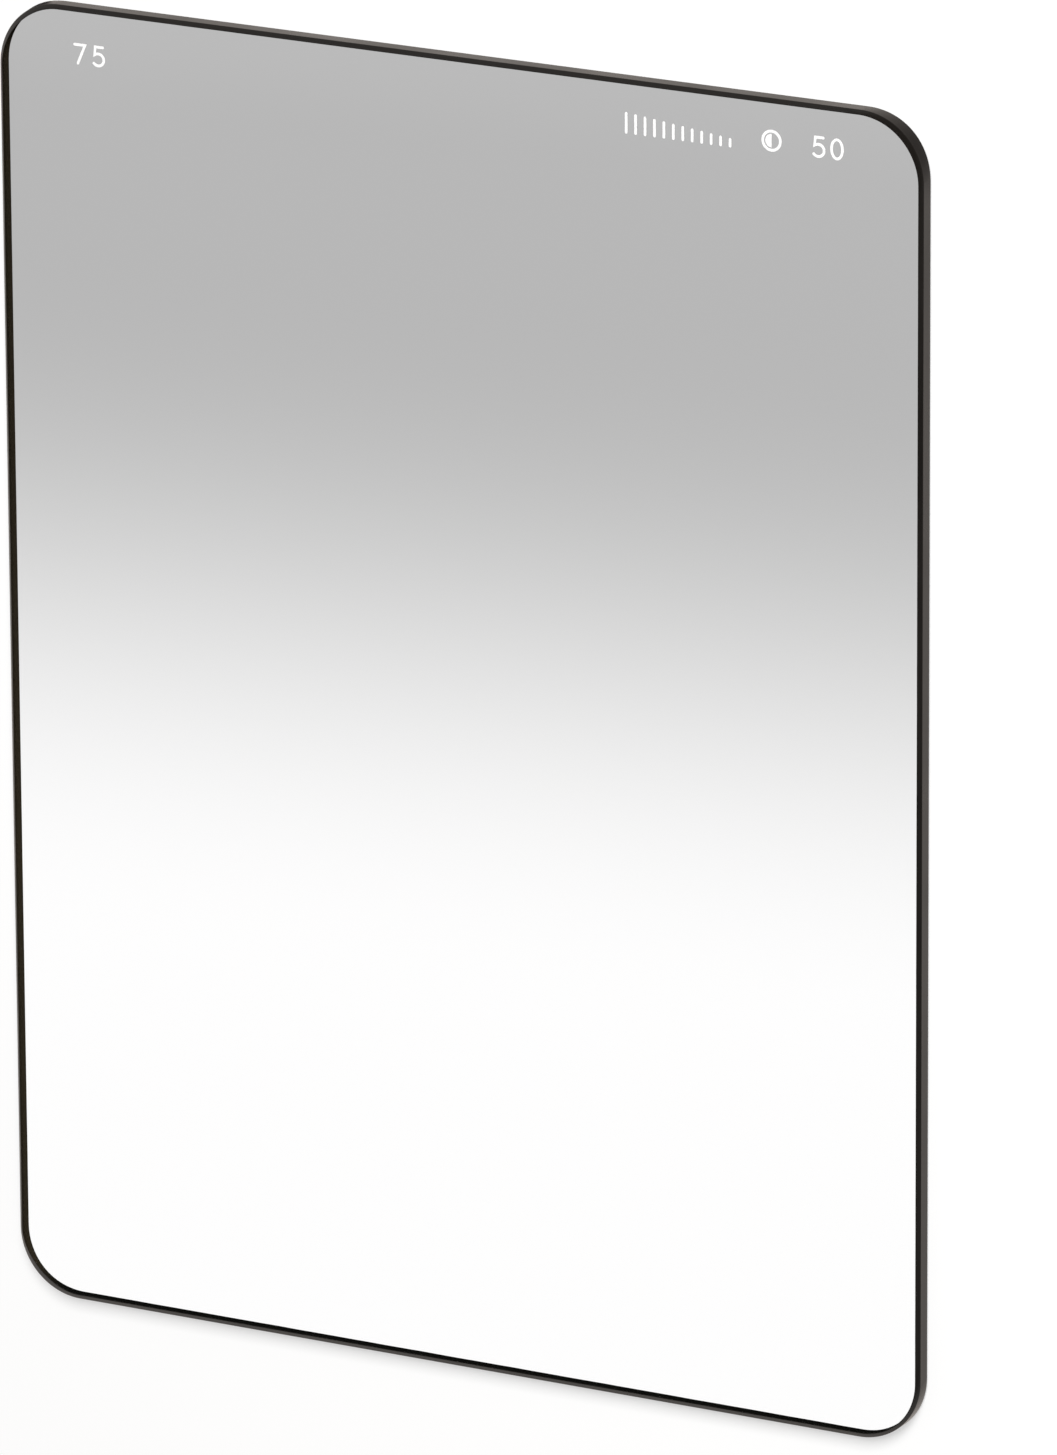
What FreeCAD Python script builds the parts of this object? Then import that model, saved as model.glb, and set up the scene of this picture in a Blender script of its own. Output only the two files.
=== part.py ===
# Square graduated neutral density filter: one plate of flat optical glass.
# The plate is cut to size, its corners are rounded and both faces are chamfered all round.
# It lies on its back face. The front face looks along +Z, the grey end is at +Y and the clear end at -Y.
# The origin is the middle of the back face. Lengths are in millimetres.
import FreeCAD, Part
import math
import os

import Sketcher

# Each driving size, and what it is.
driving_sizes = {
    "plate_width": (75.0, "side to side, the width that the holder's rails take"),
    "plate_length": (100.0, "end to end, along the graduation"),
    "plate_thickness": (1.65, "front face to back face"),
    "corner_radius": (5.0, "rounding of the four corners"),
    "edge_chamfer": (0.28, "leg of the chamfer round each face"),
}


def make_sheet(doc):
    """Puts every driving size in a cell with an alias, beside its note."""
    sheet = doc.addObject("Spreadsheet::Sheet", "sizes")
    for row, (alias, (size, note)) in enumerate(driving_sizes.items(), start=1):
        sheet.set(f"A{row}", alias)
        sheet.set(f"B{row}", str(size))
        sheet.setAlias(f"B{row}", alias)
        sheet.set(f"C{row}", note)
    doc.recompute()
    return sheet


def origin_plane(body, role):
    """The body's own origin plane of that role."""
    return next(f for f in body.Origin.OriginFeatures if f.Role == role)


def draw_outline(body, sheet):
    """The plate's rounded outline, centred on the origin. Corners run anticlockwise from the lower right."""
    half_width, half_length = sheet.plate_width / 2, sheet.plate_length / 2
    radius = sheet.corner_radius
    sketch = body.newObject("Sketcher::SketchObject", "plate_outline")
    sketch.AttachmentSupport = [(origin_plane(body, "XY_Plane"), "")]
    sketch.MapMode = "FlatFace"

    corners = [(1, -1), (1, 1), (-1, 1), (-1, -1)]
    arcs = []
    for number, (side, end) in enumerate(corners):
        centre = FreeCAD.Vector(side * (half_width - radius), end * (half_length - radius), 0)
        circle = Part.Circle(centre, FreeCAD.Vector(0, 0, 1), radius)
        start = math.radians(90 * (number - 1))
        arc = Part.ArcOfCircle(circle, start, start + math.radians(90))
        arcs.append(sketch.addGeometry(arc, False))
    lines = []
    for before, after in zip(arcs, arcs[1:] + arcs[:1]):
        leave, reach = sketch.getPoint(before, 2), sketch.getPoint(after, 1)
        line = sketch.addGeometry(Part.LineSegment(leave, reach), False)
        sketch.addConstraint(Sketcher.Constraint("Tangent", before, 2, line, 1))
        sketch.addConstraint(Sketcher.Constraint("Tangent", line, 2, after, 1))
        lines.append(line)

    right, top, left, bottom = lines
    for line, direction in ((right, "Vertical"), (top, "Horizontal"), (left, "Vertical"), (bottom, "Horizontal")):
        sketch.addConstraint(Sketcher.Constraint(direction, line))
    for arc in arcs[1:]:
        sketch.addConstraint(Sketcher.Constraint("Equal", arcs[0], arc))
    sketch.addConstraint(Sketcher.Constraint("Symmetric", arcs[0], 3, arcs[2], 3, -1, 1))

    bound = (
        ("corner_radius", Sketcher.Constraint("Radius", arcs[0], radius)),
        ("plate_width", Sketcher.Constraint("DistanceX", left, 1, right, 1, 2 * half_width)),
        ("plate_length", Sketcher.Constraint("DistanceY", bottom, 1, top, 1, 2 * half_length)),
    )
    for name, constraint in bound:
        sketch.renameConstraint(sketch.addConstraint(constraint), name)
        sketch.setExpression(f".Constraints.{name}", f"sizes.{name}")
    return sketch


def flat_faces(shape):
    """Names of the two large faces, front and back."""
    ranked = sorted(range(len(shape.Faces)), key=lambda number: -shape.Faces[number].Area)
    return [f"Face{number + 1}" for number in sorted(ranked[:2])]


def make_glass_plate(doc, sheet):
    """The plate: its outline, its thickness and the chamfer round both faces."""
    body = doc.addObject("PartDesign::Body", "glass_plate")
    body.Label = "glass_plate"
    sketch = draw_outline(body, sheet)
    doc.recompute()

    slab = body.newObject("PartDesign::Pad", "cut_plate")
    slab.Profile = sketch
    slab.setExpression("Length", "sizes.plate_thickness")
    doc.recompute()

    chamfer = body.newObject("PartDesign::Chamfer", "ground_chamfer")
    chamfer.Base = (slab, flat_faces(slab.Shape))
    chamfer.setExpression("Size", "sizes.edge_chamfer")
    doc.recompute()
    return body


def check(doc, pieces):
    """Stops before anything is written if a feature failed or a piece isn't a sound solid."""
    for item in doc.Objects:
        if {"Invalid", "Error"} & set(item.State):
            raise RuntimeError(f"{item.Name} did not build: {item.State}")
    for piece in pieces:
        shape = piece.Shape
        if shape.isNull() or not shape.isValid() or len(shape.Solids) != 1:
            raise RuntimeError(f"{piece.Label} is not one sound solid")


def main():
    doc = FreeCAD.newDocument("graduated_filter")
    sheet = make_sheet(doc)
    pieces = [make_glass_plate(doc, sheet)]
    check(doc, pieces)
    os.makedirs("parts", exist_ok=True)
    for piece in pieces:
        piece.Shape.exportStep(f"parts/{piece.Label}.step")
        box = piece.Shape.BoundBox
        print(f"{piece.Label}: {box.XLength:.2f} x {box.YLength:.2f} x {box.ZLength:.2f} mm,", end=" ")
        print(f"{piece.Shape.Volume / 1000:.3f} cubic cm, {len(piece.Shape.Faces)} faces")


main()
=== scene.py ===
import math

import bmesh
import bpy
from mathutils import Matrix, Vector, noise


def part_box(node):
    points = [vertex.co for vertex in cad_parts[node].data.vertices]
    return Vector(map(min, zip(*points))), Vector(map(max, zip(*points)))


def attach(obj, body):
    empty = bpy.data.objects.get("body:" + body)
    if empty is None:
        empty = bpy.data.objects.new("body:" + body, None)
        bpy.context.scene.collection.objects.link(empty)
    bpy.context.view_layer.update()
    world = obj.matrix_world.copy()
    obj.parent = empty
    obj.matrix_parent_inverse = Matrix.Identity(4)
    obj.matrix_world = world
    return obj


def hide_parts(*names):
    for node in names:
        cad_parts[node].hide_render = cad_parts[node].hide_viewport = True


# Graduated filter plate, lying on its back face. Metres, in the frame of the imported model.
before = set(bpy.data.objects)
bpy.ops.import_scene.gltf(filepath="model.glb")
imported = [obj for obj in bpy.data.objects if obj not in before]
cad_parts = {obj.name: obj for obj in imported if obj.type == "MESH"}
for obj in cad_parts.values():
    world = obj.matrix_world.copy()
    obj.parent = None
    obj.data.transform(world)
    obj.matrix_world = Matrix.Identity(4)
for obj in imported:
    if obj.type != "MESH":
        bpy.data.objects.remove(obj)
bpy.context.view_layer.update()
mm = 0.001


# Small helpers for meshes and nodes

colourA, colourB, colourOut = 6, 7, 2    # the sockets of a Mix node that carry colours


def newPiece(name, bm, materials):
    mesh = bpy.data.meshes.new(name)
    bm.to_mesh(mesh)
    bm.free()
    for material in materials:
        mesh.materials.append(material)
    piece = bpy.data.objects.new(name, mesh)
    bpy.context.scene.collection.objects.link(piece)
    return piece


def newMaterial(name):
    material = bpy.data.materials.new(name)
    material.use_nodes = True
    tree = material.node_tree
    tree.nodes.clear()
    output = tree.nodes.new("ShaderNodeOutputMaterial")
    return material, tree, output


def addNode(tree, kind, label, inputs=None, **settings):
    node = tree.nodes.new(kind)
    node.label = label
    for key, value in settings.items():
        setattr(node, key, value)
    for key, value in (inputs or {}).items():
        node.inputs[key].default_value = value
    return node


def opaque(colour):
    return (*colour, 1.0)


def addColourMix(tree, label, first, second):
    return addNode(tree, "ShaderNodeMix", label, data_type="RGBA",
                   inputs={colourA: opaque(first), colourB: opaque(second)})


# Rings are lists of vertices, all of one length
def joinRings(bm, rings, closed, smooth, material=0):
    pairs = list(zip(rings, rings[1:]))
    if closed:
        pairs.append((rings[-1], rings[0]))
    for lower, upper in pairs:
        for here in range(len(lower)):
            there = (here + 1) % len(lower)
            face = bm.faces.new((lower[here], lower[there], upper[there], upper[here]))
            face.material_index = material
            face.smooth = smooth


# What the frame says about the plate

def readPlate():
    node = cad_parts["glass_plate"]
    low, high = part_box("glass_plate")
    near = 0.001 * mm    # of a face, for a point that counts as on it
    frontPoints = [v.co for v in node.data.vertices if v.co.z > high.z - near]
    sidePoints = [v.co for v in node.data.vertices if v.co.x > high.x - near]
    return {
        "halfWidth": high.x,
        "halfLength": high.y,
        "thickness": high.z - low.z,
        "chamfer": high.x - max(p.x for p in frontPoints),
        "cornerRadius": high.y - max(p.y for p in sidePoints),
    }


plate = readPlate()
print("frame read:", {key: round(value / mm, 3) for key, value in plate.items()})


# Coated glass

glassLook = {
    "greyColour": (0.480, 0.480, 0.480),  # passes about half the light
    "clearColour": (1.0, 1.0, 1.0),
    "fadeStart": 34.0 * mm,               # along the plate, where the full grey begins to fade
    "fadeEnd": -22.3 * mm,                # where the glass is fully clear
    "fadeTurn": -1.5,                     # degrees that the fade lies out of square
    "lighterStart": 43.0 * mm,               # from here to the end the grey is a little lighter
    "lighterShare": 0.035,
    "index": 1.52,
    "coatedShine": (0.06, 0.08, 0.08),    # what the anti-reflection coating leaves of each face's gloss
    "lampPass": (0.97, 0.97, 0.97),       # lamp light that reaches the floor through the plate
}


def makeCoatedGlass():
    material, tree, output = newMaterial("coatedGlass")
    place = addNode(tree, "ShaderNodeTexCoord", "plate place")
    square = addNode(tree, "ShaderNodeMapping", "out of square",
                     inputs={"Rotation": (0.0, 0.0, math.radians(glassLook["fadeTurn"]))})
    split = addNode(tree, "ShaderNodeSeparateXYZ", "along the plate")
    fade = addNode(tree, "ShaderNodeMapRange", "soft fade", interpolation_type="SMOOTHERSTEP",
                   inputs={"From Min": glassLook["fadeEnd"], "From Max": glassLook["fadeStart"]})
    lighterEnd = addNode(tree, "ShaderNodeMapRange", "lighter at the end", interpolation_type="SMOOTHSTEP",
                   inputs={"From Min": glassLook["lighterStart"], "From Max": plate["halfLength"],
                           "To Max": glassLook["lighterShare"]})
    depth = addNode(tree, "ShaderNodeMath", "coat", operation="SUBTRACT")
    tint = addColourMix(tree, "grey coat", glassLook["clearColour"], glassLook["greyColour"])
    glass = addNode(tree, "ShaderNodeBsdfPrincipled", "glass", inputs={
        "Roughness": 0.0,
        "IOR": glassLook["index"],
        "Transmission Weight": 1.0,
        "Specular Tint": opaque(glassLook["coatedShine"]),
    })
    path = addNode(tree, "ShaderNodeLightPath", "ray kind")
    passing = addNode(tree, "ShaderNodeBsdfTransparent", "lamp light goes through",
                      inputs={"Color": opaque(glassLook["lampPass"])})
    lampSide = addNode(tree, "ShaderNodeMixShader", "for lamps")
    bounceSide = addNode(tree, "ShaderNodeMixShader", "for bounced light")
    link = tree.links.new
    link(place.outputs["Object"], square.inputs["Vector"])
    link(square.outputs["Vector"], split.inputs[0])
    link(split.outputs["Y"], fade.inputs["Value"])
    link(split.outputs["Y"], lighterEnd.inputs["Value"])
    link(fade.outputs["Result"], depth.inputs[0])
    link(lighterEnd.outputs["Result"], depth.inputs[1])
    link(depth.outputs[0], tint.inputs["Factor"])
    link(tint.outputs[colourOut], glass.inputs["Base Color"])
    link(path.outputs["Is Shadow Ray"], lampSide.inputs[0])
    link(glass.outputs[0], lampSide.inputs[1])
    link(passing.outputs[0], lampSide.inputs[2])
    link(path.outputs["Is Diffuse Ray"], bounceSide.inputs[0])
    link(lampSide.outputs[0], bounceSide.inputs[1])
    link(passing.outputs[0], bounceSide.inputs[2])
    link(bounceSide.outputs[0], output.inputs["Surface"])
    return material


# Black paint on the ground edge

paintLook = {
    "darkColour": (0.004, 0.0032, 0.0026),
    "paleColour": (0.011, 0.009, 0.0072),
    "grainSize": 0.12 * mm,         # ground glass under the paint
    "lineWidth": 0.09 * mm,         # grinding lines that run along the edge
    "lineLength": 6.0 * mm,
    "cloudSize": 7.0 * mm,          # uneven build-up of the paint
    "cloudSpan": (0.3, 0.7),        # the values that this noise mostly takes
    "roughness": (0.24, 0.36),      # over that span
    "index": 1.37,
    "bumpHeight": 0.0025 * mm,
    "insideColour": (0.003, 0.003, 0.0025),
    "leftLitColour": (0.022, 0.0175, 0.011),    # painted light: lighter along the left long edge, standing in for light falling on that inner wall
    "leftLitFrom": -34.0 * mm,                  # across the plate, where that begins
    "leftLitSpan": (0.4, 1.6),                  # how patchy it is there
}


def makeEdgePaint():
    material, tree, output = newMaterial("edgePaint")
    place = addNode(tree, "ShaderNodeTexCoord", "plate place")
    along, across = 1 / paintLook["lineLength"], 1 / paintLook["lineWidth"]
    lineSpace = addNode(tree, "ShaderNodeMapping", "stretched along the edge",
                        inputs={"Scale": (along, along, across)})
    lines = addNode(tree, "ShaderNodeTexNoise", "grinding lines", inputs={"Scale": 1.0, "Detail": 3.0})
    grain = addNode(tree, "ShaderNodeTexNoise", "ground grain",
                    inputs={"Scale": 1 / paintLook["grainSize"], "Detail": 4.0, "Roughness": 0.6})
    cloud = addNode(tree, "ShaderNodeTexNoise", "paint build-up",
                    inputs={"Scale": 1 / paintLook["cloudSize"], "Detail": 2.0})
    relief = addNode(tree, "ShaderNodeMath", "lines and grain", operation="ADD")
    tone = addNode(tree, "ShaderNodeMath", "lines in the build-up", operation="MULTIPLY")
    colour = addColourMix(tree, "warm black", paintLook["darkColour"], paintLook["paleColour"])
    spanLow, spanHigh = paintLook["cloudSpan"]
    smoothest, roughest = paintLook["roughness"]
    rough = addNode(tree, "ShaderNodeMapRange", "satin", inputs={
        "From Min": spanLow, "From Max": spanHigh, "To Min": smoothest, "To Max": roughest})
    bump = addNode(tree, "ShaderNodeBump", "relief of the edge",
                   inputs={"Strength": 1.0, "Distance": paintLook["bumpHeight"]})
    paint = addNode(tree, "ShaderNodeBsdfPrincipled", "paint", inputs={"IOR": paintLook["index"]})
    link = tree.links.new
    link(place.outputs["Object"], lineSpace.inputs["Vector"])
    link(lineSpace.outputs["Vector"], lines.inputs["Vector"])
    link(place.outputs["Object"], grain.inputs["Vector"])
    link(place.outputs["Object"], cloud.inputs["Vector"])
    link(lines.outputs["Fac"], relief.inputs[0])
    link(grain.outputs["Fac"], relief.inputs[1])
    link(lines.outputs["Fac"], tone.inputs[0])
    link(cloud.outputs["Fac"], tone.inputs[1])
    link(tone.outputs[0], colour.inputs["Factor"])
    link(colour.outputs[colourOut], paint.inputs["Base Color"])
    link(cloud.outputs["Fac"], rough.inputs["Value"])
    link(rough.outputs["Result"], paint.inputs["Roughness"])
    link(relief.outputs[0], bump.inputs["Height"])
    link(bump.outputs["Normal"], paint.inputs["Normal"])
    link(paint.outputs[0], output.inputs["Surface"])
    return material


# The same paint seen through the glass that it is bonded to: deep black, with no gloss of its own. Along
# the left edge it is painted lighter, as if light fell on that inner wall.
def makePaintFromInside():
    material, tree, output = newMaterial("paintFromInside")
    place = addNode(tree, "ShaderNodeTexCoord", "plate place")
    grain = addNode(tree, "ShaderNodeTexNoise", "ground grain",
                    inputs={"Scale": 1 / paintLook["grainSize"], "Detail": 2.0})
    split = addNode(tree, "ShaderNodeSeparateXYZ", "across the plate")
    # painted light: lighter towards the left edge, standing in for light on that inner wall; the grain
    # makes it patchy
    side = addNode(tree, "ShaderNodeMapRange", "painted light on the left edge", interpolation_type="SMOOTHSTEP",
                   inputs={"From Min": paintLook["leftLitFrom"], "From Max": -plate["halfWidth"]})
    leastLit, mostLit = paintLook["leftLitSpan"]
    patchy = addNode(tree, "ShaderNodeMapRange", "patchy", inputs={"To Min": leastLit, "To Max": mostLit})
    share = addNode(tree, "ShaderNodeMath", "painted light, patchy", operation="MULTIPLY")
    colour = addColourMix(tree, "bonded black", paintLook["insideColour"], paintLook["leftLitColour"])
    paint = addNode(tree, "ShaderNodeBsdfPrincipled", "bonded paint",
                    inputs={"Roughness": 1.0, "IOR": 1.0, "Specular IOR Level": 0.0})
    link = tree.links.new
    link(place.outputs["Object"], grain.inputs["Vector"])
    link(place.outputs["Object"], split.inputs[0])
    link(split.outputs["X"], side.inputs["Value"])
    link(grain.outputs["Fac"], patchy.inputs["Value"])
    link(side.outputs["Result"], share.inputs[0])
    link(patchy.outputs["Result"], share.inputs[1])
    link(share.outputs[0], colour.inputs["Factor"])
    link(colour.outputs[colourOut], paint.inputs["Base Color"])
    link(paint.outputs[0], output.inputs["Surface"])
    return material


# The edge of the plate. Stations are points round its outline, each with its outward direction.
# A profile gives how far each point of the edge lies inside the outline there, and its height.

edgeShape = {
    "cornerSteps": 24,
    "straightStep": 1.5 * mm,
    "endGrind": 0.10 * mm,        # how much wider the front chamfer is ground along the clear end
    "corners": {                  # how much wider the front chamfer is there, and how much fuller the back
        ("right", "grey"): (0.03 * mm, 0.105 * mm),
        ("left", "grey"): (0.08 * mm, 0.10 * mm),
        ("left", "clear"): (0.17 * mm, 0.06 * mm),
        ("right", "clear"): (-0.11 * mm, 0.02 * mm),
    },
    "cornerPower": 1.5,           # how closely that keeps to the middle of a corner
    "paintThickness": 0.02 * mm,
    "creep": 0.012 * mm,          # how far the paint runs onto the faces
    "endCreep": 0.022 * mm,       # and how much further at the clear end
    "creepWaver": 0.45,           # share by which the creep varies
    "waverLength": 2.5 * mm,
}


def makeStations():
    radius = plate["cornerRadius"]
    reachX = plate["halfWidth"] - radius
    reachY = plate["halfLength"] - radius
    corners = []
    for number, (side, end) in enumerate(((1, -1), (1, 1), (-1, 1), (-1, -1))):
        arc = []
        for step in range(edgeShape["cornerSteps"] + 1):
            angle = math.radians(90 * (number - 1 + step / edgeShape["cornerSteps"]))
            outward = Vector((math.cos(angle), math.sin(angle)))
            arc.append((Vector((side * reachX, end * reachY)) + outward * radius, outward))
        corners.append(arc)
    stations = []
    for number, arc in enumerate(corners):
        stations += arc
        lastPoint, outward = arc[-1]
        nextPoint = corners[(number + 1) % 4][0][0]
        count = max(round((nextPoint - lastPoint).length / edgeShape["straightStep"]), 1)
        for step in range(1, count):
            stations.append((lastPoint.lerp(nextPoint, step / count), outward))
    return stations


def nearClearEnd(point):
    # 1 along the clear end, and down to 0 through its corners
    return max(0.0, 1 - (point.y + plate["halfLength"]) / plate["cornerRadius"])


def creepAt(point):
    wave = noise.noise(Vector((point.x, point.y, 0.0)) / edgeShape["waverLength"])
    width = edgeShape["creep"] + edgeShape["endCreep"] * nearClearEnd(point)
    return width * (1 + edgeShape["creepWaver"] * wave)


def cornerAt(outward):
    # how much wider and fuller: both are 0 along the straight edges, and most in the middle of a corner
    corner = ("right" if outward.x > 0 else "left", "grey" if outward.y > 0 else "clear")
    share = abs(2 * outward.x * outward.y) ** edgeShape["cornerPower"]
    wider, fuller = edgeShape["corners"][corner]
    return wider * share, fuller * share


def frontChamferAt(point, outward):
    # its width on the face, which grows smoothly through the corners of the clear end
    share = nearClearEnd(point)
    ground = edgeShape["endGrind"] * share * share * (3 - 2 * share)
    return plate["chamfer"] + ground + cornerAt(outward)[0]


def addRings(bm, stations, profileAt):
    columns = []
    for point, outward in stations:
        column = []
        for inset, height in profileAt(point, outward):
            place = point - outward * inset
            column.append(bm.verts.new((place.x, place.y, height)))
        columns.append(column)
    return list(zip(*columns))


def glassProfileAt(point, outward):
    # from the back face to the front face, under the paint
    chamfer, thickness = plate["chamfer"], plate["thickness"]
    frontChamfer = frontChamferAt(point, outward)
    fuller = cornerAt(outward)[1]
    under = edgeShape["paintThickness"]
    creep = creepAt(point)
    return [
        (chamfer + under + creep - fuller, 0.0),
        (chamfer + under - fuller, 0.0),
        (under - fuller, chamfer),
        (under, thickness - chamfer),
        (frontChamfer + under, thickness),
        (frontChamfer + under + creep, thickness),
    ]


def makeCoatedPlate(stations):
    bm = bmesh.new()
    rings = addRings(bm, stations, glassProfileAt)
    joinRings(bm, rings, closed=False, smooth=False, material=1)
    bm.faces.new(reversed(rings[0]))
    bm.faces.new(rings[-1])
    piece = newPiece("coatedPlate", bm, [makeCoatedGlass(), makePaintFromInside()])
    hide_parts("glass_plate")
    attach(piece, "root")


# The paint as a closed band round the edge

bandShape = {
    "arris": 0.06 * mm,           # rounding where a chamfer meets the side
    "faceArris": 0.02 * mm,       # rounding where a chamfer meets a face
    "arrisSteps": 4,
    "creepCrest": 0.7,            # share of the creep at which the paint is still thick
    "creepRise": 0.008 * mm,      # and how far it stands off the face there
    "creepFoot": 1.3,             # share of the creep at which it has run out
    "creepGap": 0.001 * mm,       # and how far off the face that is
}


def roundCorner(before, corner, after, radius):
    # an arc of that radius in place of the corner of a profile
    corner, before, after = (Vector(p) for p in (corner, before, after))
    toBefore, toAfter = (before - corner).normalized(), (after - corner).normalized()
    turn = math.pi - toBefore.angle(toAfter)
    reach = radius * math.tan(turn / 2)
    start, end = corner + toBefore * reach, corner + toAfter * reach
    middle = corner + (toBefore + toAfter).normalized() * radius / math.cos(turn / 2)
    points = []
    for step in range(bandShape["arrisSteps"] + 1):
        share = step / bandShape["arrisSteps"]
        way = (start.lerp(end, share) - middle).normalized()
        points.append(middle + way * radius)
    return points


def paintOutsideAt(point, outward):
    # from the front face over the side to the back face
    chamfer, thickness = plate["chamfer"], plate["thickness"]
    arris, faceArris = bandShape["arris"], bandShape["faceArris"]
    fuller = cornerAt(outward)[1]
    further = chamfer * 2    # a place on either face, beyond its chamfer
    front = (frontChamferAt(point, outward), thickness)
    frontSide = (0.0, thickness - chamfer)
    backSide = (-fuller, chamfer)
    back = (chamfer - fuller, 0.0)
    points = roundCorner((further, thickness), front, frontSide, faceArris)
    points += roundCorner(front, frontSide, backSide, arris)
    points += roundCorner(frontSide, backSide, back, arris)
    points += roundCorner(backSide, back, (further, 0.0), faceArris)
    return [tuple(p) for p in points]


def paintProfileAt(point, outward):
    chamfer, thickness = plate["chamfer"], plate["thickness"]
    rise, gap = bandShape["creepRise"], bandShape["creepGap"]
    half = edgeShape["paintThickness"] / 2
    fuller = cornerAt(outward)[1]
    front, back = frontChamferAt(point, outward) + half, chamfer + half - fuller
    creep = creepAt(point)
    crest, foot = bandShape["creepCrest"] * creep, bandShape["creepFoot"] * creep
    profile = [
        (front + foot, thickness + gap),
        (front + crest, thickness + rise),
    ]
    profile += paintOutsideAt(point, outward)
    profile += [
        (back + crest, -rise),
        (back + foot, -gap),
        (back, -gap),
        (half - fuller, chamfer),
        (half, thickness - chamfer),
        (front, thickness + gap),
    ]
    return profile


def makePaintBand(stations):
    bm = bmesh.new()
    joinRings(bm, addRings(bm, stations, paintProfileAt), closed=True, smooth=True)
    bmesh.ops.recalc_face_normals(bm, faces=bm.faces)
    piece = newPiece("edgePaint", bm, [makeEdgePaint()])
    weighted = piece.modifiers.new("flat faces stay flat", "WEIGHTED_NORMAL")
    weighted.mode = "FACE_AREA"
    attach(piece, "root")


plateStations = makeStations()
makeCoatedPlate(plateStations)
makePaintBand(plateStations)
print("plate and edge paint made")


# White print near the grey end: a row of ticks, a half-filled ring and plain numbers

printLook = {
    "inkColour": (0.93, 0.93, 0.93),
    "inkRoughness": (0.42, 0.58),
    "speckSize": 0.08 * mm,
    "inkHeight": 0.012 * mm,
    "inkSunk": 0.003 * mm,           # how far the foot of the ink lies inside the glass
    "lineWidth": 0.205 * mm,
    "endSteps": 6,                   # on the round end of a line
    "arcSteps": 24,
    "ringSteps": 40,
    "leastTurn": 0.5,                # limits how far a sharp turn of a line sticks out
    "capHeight": 1.40 * mm,
    "sizeNumber": ("75", -31.1 * mm, 45.85 * mm, 1.55 * mm),    # text, x, y, pitch
    "passNumber": ("50", 28.9 * mm, 46.25 * mm, 1.45 * mm),
    "ringPlace": (25.6 * mm, 46.95 * mm),
    "tickStart": 14.0 * mm,
    "tickEnd": 22.3 * mm,
    "tickCount": 12,
    "tickBase": 46.15 * mm,
    "tickLoss": 0.65,                # share of its height that the last tick has lost
}
digitShape = {                       # across in shares of a digit's width, up in shares of its height
    "width": 0.62,                   # of its height
    "sevenFoot": 0.3,
    "fiveTop": (0.92, 0.2),          # from right to left
    "bowlMiddle": (0.46, 0.32),
    "bowlRadius": (0.54, 0.32),
    "bowlAngles": (128, -140),
}
inkFoot = plate["thickness"] - printLook["inkSunk"]
inkTop = plate["thickness"] + printLook["inkHeight"]


def makeInk():
    material, tree, output = newMaterial("whiteInk")
    place = addNode(tree, "ShaderNodeTexCoord", "plate place")
    speck = addNode(tree, "ShaderNodeTexNoise", "ink texture",
                    inputs={"Scale": 1 / printLook["speckSize"], "Detail": 3.0})
    smoothest, roughest = printLook["inkRoughness"]
    rough = addNode(tree, "ShaderNodeMapRange", "dry ink", inputs={"To Min": smoothest, "To Max": roughest})
    ink = addNode(tree, "ShaderNodeBsdfPrincipled", "ink",
                  inputs={"Base Color": opaque(printLook["inkColour"])})
    link = tree.links.new
    link(place.outputs["Object"], speck.inputs["Vector"])
    link(speck.outputs["Fac"], rough.inputs["Value"])
    link(rough.outputs["Result"], ink.inputs["Roughness"])
    link(ink.outputs[0], output.inputs["Surface"])
    return material


def arcPoints(centre, radiusX, radiusY, start, end, steps):
    points = []
    for step in range(steps + 1):
        angle = math.radians(start + (end - start) * step / steps)
        points.append(Vector((centre[0] + radiusX * math.cos(angle),
                              centre[1] + radiusY * math.sin(angle))))
    return points


def addRing(bm, line, height):
    return [bm.verts.new((p.x, p.y, height)) for p in line]


def addSlab(bm, outline):
    # a closed piece of ink; outline runs anticlockwise
    foot = addRing(bm, outline, inkFoot)
    top = addRing(bm, outline, inkTop)
    bm.faces.new(top)
    bm.faces.new(reversed(foot))
    joinRings(bm, [foot, top], closed=False, smooth=False)


def addOval(bm, centre, radiusX, radiusY):
    # a closed line of ink, with its hole
    half = printLook["lineWidth"] / 2
    steps = printLook["ringSteps"]
    inner = arcPoints(centre, radiusX - half, radiusY - half, 0, 360, steps)[:-1]
    outer = arcPoints(centre, radiusX + half, radiusY + half, 0, 360, steps)[:-1]
    section = ((inner, inkFoot), (outer, inkFoot), (outer, inkTop), (inner, inkTop))
    rings = [addRing(bm, line, height) for line, height in section]
    joinRings(bm, rings, closed=True, smooth=False)


def sideways(points, number):
    # to the left of a line at one of its points, longer where the line turns
    before = points[max(number - 1, 0)]
    after = points[min(number + 1, len(points) - 1)]
    here = points[number]
    parts = [(b - a).normalized() for a, b in ((before, here), (here, after)) if (b - a).length > 0]
    way = sum(parts, Vector((0.0, 0.0))).normalized()
    stretch = 1 / max(way.dot(parts[0]), printLook["leastTurn"])
    return Vector((-way.y, way.x)) * stretch


def addPenLine(bm, points):
    half = printLook["lineWidth"] / 2
    steps = printLook["endSteps"]
    left = [p + sideways(points, n) * half for n, p in enumerate(points)]
    right = [p - sideways(points, n) * half for n, p in enumerate(points)]

    def roundEnd(centre, way):
        across = Vector((way.y, -way.x))
        angles = [math.pi * step / steps for step in range(1, steps)]
        return [centre + half * (across * math.cos(a) + way * math.sin(a)) for a in angles]

    lastWay = (points[-1] - points[-2]).normalized()
    firstWay = (points[0] - points[1]).normalized()
    outline = right + roundEnd(points[-1], lastWay) + left[::-1] + roundEnd(points[0], firstWay)
    addSlab(bm, outline)


# The pen lines of the digits are in shares of the height

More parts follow.
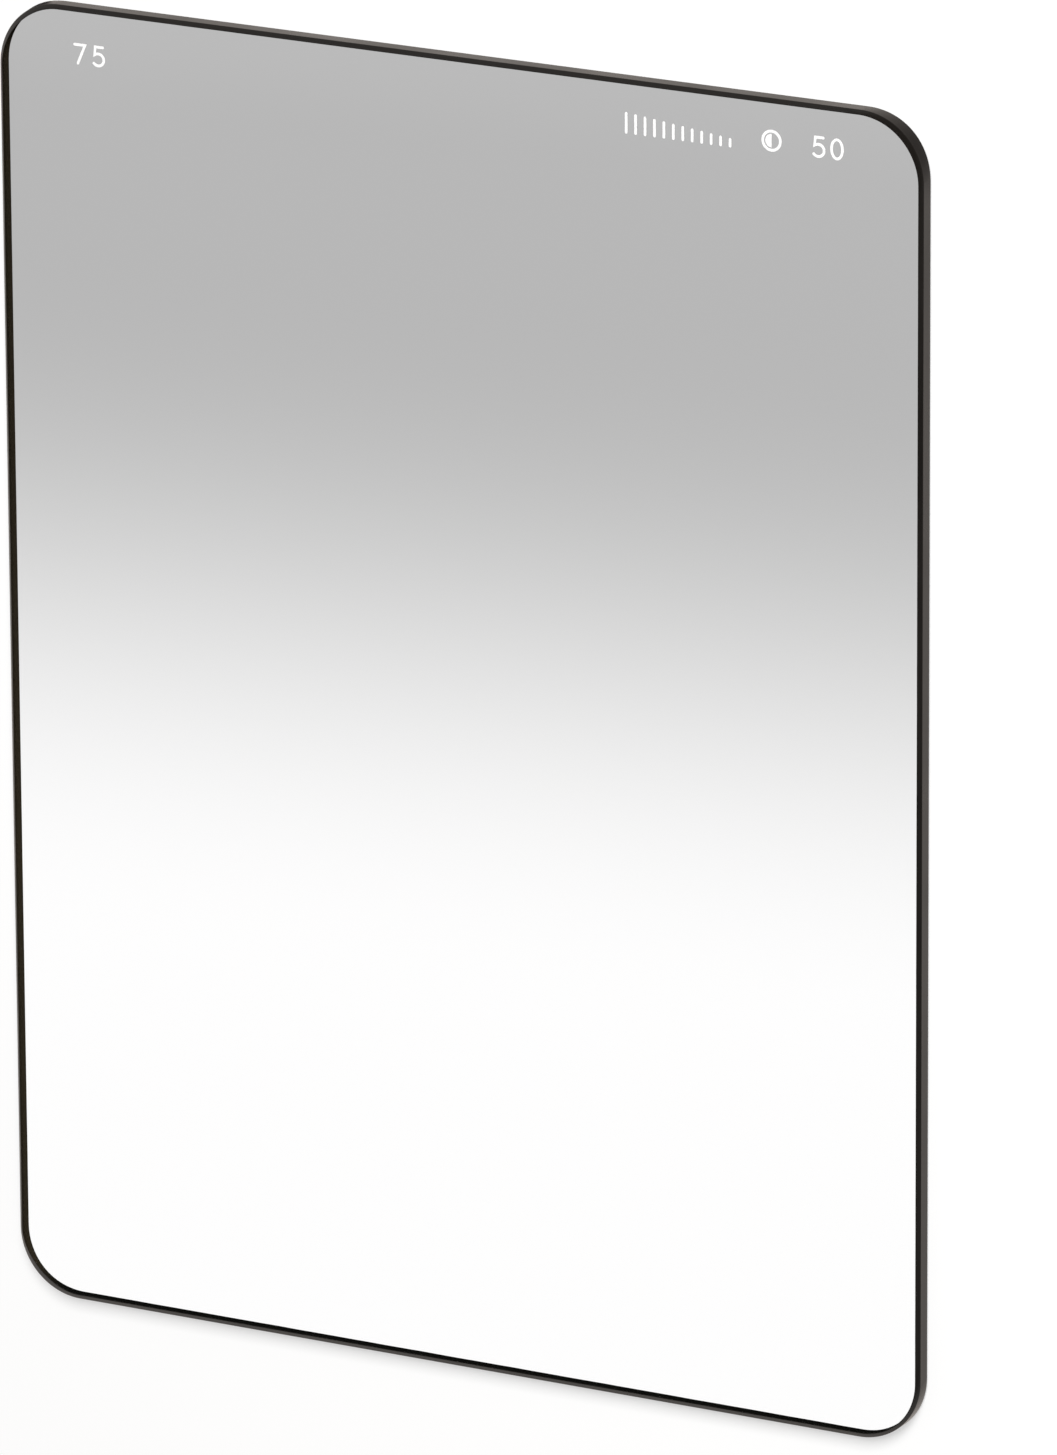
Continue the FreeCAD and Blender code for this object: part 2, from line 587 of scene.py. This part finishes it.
def fiveLine():
    wide = digitShape["width"]
    middleX, middleY = digitShape["bowlMiddle"]
    radiusX, radiusY = digitShape["bowlRadius"]
    start, end = digitShape["bowlAngles"]
    bowl = arcPoints((wide * middleX, middleY), wide * radiusX, radiusY, start, end, printLook["arcSteps"])
    return [Vector((wide * across, 1.0)) for across in digitShape["fiveTop"]] + bowl


def sevenLine():
    wide = digitShape["width"]
    return [Vector((0.0, 1.0)), Vector((wide, 1.0)), Vector((wide * digitShape["sevenFoot"], 0.0))]


def addDigit(bm, digit, corner):
    tall = printLook["capHeight"]
    if digit == "0":
        halfWide = digitShape["width"] / 2
        addOval(bm, corner + Vector((halfWide, 0.5)) * tall, halfWide * tall, tall / 2)
        return
    line = {"5": fiveLine, "7": sevenLine}[digit]()
    addPenLine(bm, [corner + p * tall for p in line])


def addNumber(bm, text, x, y, pitch):
    for place, digit in enumerate(text):
        addDigit(bm, digit, Vector((x + place * pitch, y)))


def drawSizeNumber(bm):
    addNumber(bm, *printLook["sizeNumber"])


def drawPassNumber(bm):
    addNumber(bm, *printLook["passNumber"])


def drawHalfRing(bm):
    centre = Vector(printLook["ringPlace"])
    radius = printLook["capHeight"] / 2
    inside = radius - printLook["lineWidth"]
    addOval(bm, centre, radius, radius)
    addSlab(bm, arcPoints(centre, inside, inside, 90, 270, printLook["arcSteps"]))


def drawFadeTicks(bm):
    start, end, count = printLook["tickStart"], printLook["tickEnd"], printLook["tickCount"]
    for number in range(count):
        share = number / (count - 1)
        tall = printLook["capHeight"] * (1 - printLook["tickLoss"] * share)
        foot = Vector((start + (end - start) * share, printLook["tickBase"]))
        addPenLine(bm, [foot, foot + Vector((0.0, tall))])


def makeMark(name, draw, ink):
    bm = bmesh.new()
    draw(bm)
    bmesh.ops.recalc_face_normals(bm, faces=bm.faces)
    piece = newPiece(name, bm, [ink])
    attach(piece, "root")


whiteInk = makeInk()
makeMark("sizeNumber", drawSizeNumber, whiteInk)
makeMark("passNumber", drawPassNumber, whiteInk)
makeMark("halfRing", drawHalfRing, whiteInk)
makeMark("fadeTicks", drawFadeTicks, whiteInk)
print("print made")


# Floor and world. Gloss shows a studio of its own, which the camera doesn't see and which casts no light.

stageLook = {
    "floorSize": 12.0,
    "floorDrop": 0.02 * mm,              # clears the paint that creeps under the plate
    "floorColour": (0.95, 0.95, 0.95),
    "floorGlow": 0.55,                   # share of plain white that the camera sees in the floor
    "paperInGloss": (0.95, 0.87, 0.81),  # warm paper, as the painted edge shows it
    "paintedDarkPatches": (                           # and painted reflections: darker patches of floor that only gloss shows, which darken the edge's reflection beside the corners of the grey end
        {"colour": (0.45, 0.41, 0.39), "place": (37.3 * mm, 47.7 * mm, 0.0), "fade": (0.5 * mm, 5.0 * mm)},
        {"colour": (0.09, 0.08, 0.08), "place": (-35.0 * mm, 49.4 * mm, 0.0), "fade": (0.7 * mm, 1.5 * mm)},
    ),
    "worldColour": (0.19, 0.18, 0.17),
    "backdropInGloss": (0.95, 0.93, 0.91),    # a pale backdrop that gloss shows low down
    "backdropTop": (14.0, 23.0),              # degrees up, where it fades into the room
    "roomInGloss": (0.12, 0.115, 0.11),
    "white": (1.0, 1.0, 1.0),            # what the camera sees
}


def addPaperAndDarkPatches(tree):
    # the colour socket of what gloss shows at a place on the floor
    link = tree.links.new
    place = addNode(tree, "ShaderNodeNewGeometry", "place on the floor")
    shown = None
    # painted reflection: each dark patch darkens what the painted edge mirrors beside a corner; nothing
    # stands there
    for darkPatch in stageLook["paintedDarkPatches"]:
        fadeStart, fadeEnd = darkPatch["fade"]    # distances from its place, over which it turns into paper
        reach = addNode(tree, "ShaderNodeVectorMath", "distance from the card", operation="DISTANCE",
                        inputs={1: darkPatch["place"]})
        beyond = addNode(tree, "ShaderNodeMapRange", "beyond the card", interpolation_type="SMOOTHSTEP",
                         inputs={"From Min": fadeStart, "From Max": fadeEnd})
        around = addColourMix(tree, "card or paper", darkPatch["colour"], stageLook["paperInGloss"])
        link(place.outputs["Position"], reach.inputs[0])
        link(reach.outputs["Value"], beyond.inputs["Value"])
        link(beyond.outputs["Result"], around.inputs["Factor"])
        if shown is not None:
            link(shown, around.inputs[colourB])
        shown = around.outputs[colourOut]
    return shown


def makeFloorPaper():
    material, tree, output = newMaterial("paleFloor")
    path = addNode(tree, "ShaderNodeLightPath", "ray kind")
    share = addNode(tree, "ShaderNodeMath", "share for the camera", operation="MULTIPLY",
                    inputs={1: stageLook["floorGlow"]})
    glassed = addNode(tree, "ShaderNodeMath", "or through glass", operation="MAXIMUM")
    dull = addNode(tree, "ShaderNodeBsdfDiffuse", "paper",
                   inputs={"Color": opaque(stageLook["floorColour"])})
    white = addNode(tree, "ShaderNodeEmission", "plain white",
                    inputs={"Color": opaque(stageLook["white"])})
    mirrored = addNode(tree, "ShaderNodeEmission", "as gloss shows it")
    plain = addNode(tree, "ShaderNodeMixShader", "plain or in gloss")
    both = addNode(tree, "ShaderNodeMixShader", "floor")
    link = tree.links.new
    link(addPaperAndDarkPatches(tree), mirrored.inputs["Color"])
    link(path.outputs["Is Glossy Ray"], plain.inputs[0])
    link(dull.outputs[0], plain.inputs[1])
    link(mirrored.outputs[0], plain.inputs[2])
    link(path.outputs["Is Camera Ray"], share.inputs[0])
    link(share.outputs[0], glassed.inputs[0])
    link(path.outputs["Is Transmission Ray"], glassed.inputs[1])
    link(glassed.outputs[0], both.inputs[0])    # last, because a ray through glass is also a glossy one
    link(plain.outputs[0], both.inputs[1])
    link(white.outputs[0], both.inputs[2])
    link(both.outputs[0], output.inputs["Surface"])
    return material


def makeFloor():
    bm = bmesh.new()
    bmesh.ops.create_grid(bm, x_segments=1, y_segments=1, size=stageLook["floorSize"] / 2)
    floor = newPiece("floor", bm, [makeFloorPaper()])
    floor.location.z = -stageLook["floorDrop"]


def makeWorld():
    world = bpy.data.worlds.new("studio")
    bpy.context.scene.world = world
    world.use_nodes = True
    tree = world.node_tree
    tree.nodes.clear()
    output = tree.nodes.new("ShaderNodeOutputWorld")
    path = addNode(tree, "ShaderNodeLightPath", "ray kind")
    place = addNode(tree, "ShaderNodeTexCoord", "direction")
    split = addNode(tree, "ShaderNodeSeparateXYZ", "how far up")
    fadeLow, fadeHigh = (math.sin(math.radians(angle)) for angle in stageLook["backdropTop"])
    height = addNode(tree, "ShaderNodeMapRange", "top of the backdrop", interpolation_type="SMOOTHSTEP",
                     inputs={"From Min": fadeLow, "From Max": fadeHigh})
    mirrored = addColourMix(tree, "backdrop or room",
                            stageLook["backdropInGloss"], stageLook["roomInGloss"])
    inGloss = addNode(tree, "ShaderNodeBackground", "room in gloss")
    room = addNode(tree, "ShaderNodeBackground", "room",
                   inputs={"Color": opaque(stageLook["worldColour"])})
    white = addNode(tree, "ShaderNodeBackground", "plain white",
                    inputs={"Color": opaque(stageLook["white"])})
    plain = addNode(tree, "ShaderNodeMixShader", "plain or in gloss")
    both = addNode(tree, "ShaderNodeMixShader", "world")
    link = tree.links.new
    link(place.outputs["Generated"], split.inputs[0])
    link(split.outputs["Z"], height.inputs["Value"])
    link(height.outputs["Result"], mirrored.inputs["Factor"])
    link(mirrored.outputs[colourOut], inGloss.inputs["Color"])
    link(path.outputs["Is Glossy Ray"], plain.inputs[0])
    link(room.outputs[0], plain.inputs[1])
    link(inGloss.outputs[0], plain.inputs[2])
    link(path.outputs["Is Camera Ray"], both.inputs[0])
    link(plain.outputs[0], both.inputs[1])
    link(white.outputs[0], both.inputs[2])
    link(both.outputs[0], output.inputs["Surface"])


# One soft box over the right of the grey end

keyBox = {
    "direction": (0.325, 0.541, 0.773),    # from the plate
    "distance": 0.90,
    "size": (0.30, 0.48),
    "power": 10.3,                         # watts
}


def makeKeyBox():
    light = bpy.data.lights.new("keyBox", "AREA")
    light.shape = "RECTANGLE"
    light.size, light.size_y = keyBox["size"]
    light.energy = keyBox["power"]
    lamp = bpy.data.objects.new("keyBox", light)
    bpy.context.scene.collection.objects.link(lamp)
    outward = Vector(keyBox["direction"]).normalized()
    along = outward.cross(Vector((1.0, 0.0, 0.0))).normalized()
    across = along.cross(outward)
    turn = Matrix((across, along, outward)).transposed().to_4x4()
    lamp.matrix_world = Matrix.Translation(outward * keyBox["distance"]) @ turn
    lamp.visible_camera = False
    lamp.visible_glossy = False    # its glint would turn the black chamfer of one corner grey


makeFloor()
makeWorld()
makeKeyBox()
print("stage made")


# Camera, found from the plate's outline in the photograph

photoView = {
    "turn": 27.773,         # degrees to the plate's right of its front
    "lift": 17.742,         # degrees towards its grey end
    "roll": -0.338,
    "distance": 1.0445,
    "frame": (1057, 1455),
    "focalPixels": 14349.0,
    "middlePixel": (468.0, 715.9),    # where the middle of the back face shows
    "sensor": 36.0,
    "clip": (0.01, 50.0),
}


def makeCamera():
    turn, lift, roll = (math.radians(photoView[key]) for key in ("turn", "lift", "roll"))
    back = Vector((math.sin(turn) * math.cos(lift), math.sin(lift), math.cos(turn) * math.cos(lift)))
    level = Vector((0.0, 1.0, 0.0)).cross(back).normalized()
    rise = back.cross(level)
    right = level * math.cos(roll) + rise * math.sin(roll)
    up = rise * math.cos(roll) - level * math.sin(roll)
    wide, tall = photoView["frame"]
    middleX, middleY = photoView["middlePixel"]
    perPixel = photoView["distance"] / photoView["focalPixels"]
    aside = (middleX - wide / 2) * perPixel
    above = (tall / 2 - middleY) * perPixel
    eye = back * photoView["distance"] - right * aside - up * above

    data = bpy.data.cameras.new("photoCamera")
    data.sensor_width = photoView["sensor"]
    data.lens = photoView["focalPixels"] / max(wide, tall) * photoView["sensor"]
    data.clip_start, data.clip_end = photoView["clip"]
    camera = bpy.data.objects.new("photoCamera", data)
    bpy.context.scene.collection.objects.link(camera)
    camera.matrix_world = Matrix.Translation(eye) @ Matrix((right, up, back)).transposed().to_4x4()
    bpy.context.scene.camera = camera


makeCamera()
bpy.context.scene.view_settings.view_transform = "Standard"
print("camera made")
